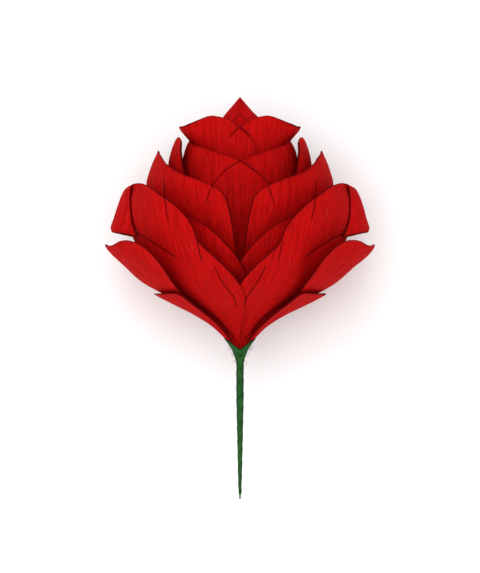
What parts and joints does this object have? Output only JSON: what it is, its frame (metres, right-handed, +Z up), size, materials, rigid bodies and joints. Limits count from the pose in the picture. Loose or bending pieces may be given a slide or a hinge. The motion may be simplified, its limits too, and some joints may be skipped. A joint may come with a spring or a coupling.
{
  "type": "crepe paper rose",
  "caption": "Red crepe paper rose with nested petals round a rolled core, rolled and pointed margins, a green calyx and a short wrapped wire stem, lying on its side.",
  "frame": {"origin": "centre of the bounding box on the floor", "axes": "+Z up; the rose lies on its back with its bloom towards +Y and its stem's cut end towards -Y, clear of the floor; +X is the rose's right side as the camera sees it"},
  "size_m": [0.1078, 0.1606, 0.0768],
  "materials": {
    "red_crepe": "matt red crepe paper with a fine lengthwise grain",
    "green_crepe": "matt green crepe paper, wound on as a strip",
    "wire": "dark green lacquered florist's wire"
  },
  "bodies": {
    "root": {"stem_wire": "wire", "stem_wrap": "green_crepe", "calyx": "green_crepe", "bud_core": "red_crepe", "low_petal_left": "red_crepe", "low_petal_right": "red_crepe", "hooked_petal_left": "red_crepe", "hooked_petal_right": "red_crepe", "rolled_petal_left": "red_crepe", "rolled_petal_right": "red_crepe", "inner_cup_petal_left": "red_crepe", "inner_cup_petal_right": "red_crepe", "pointed_petal_left": "red_crepe", "pointed_petal_right": "red_crepe", "spire_petal_left": "red_crepe", "spire_petal_right": "red_crepe", "bud_petal_left": "red_crepe", "bud_petal_right": "red_crepe", "lip_petal_left": "red_crepe", "lip_petal_right": "red_crepe"}
  },
  "joints": []
}
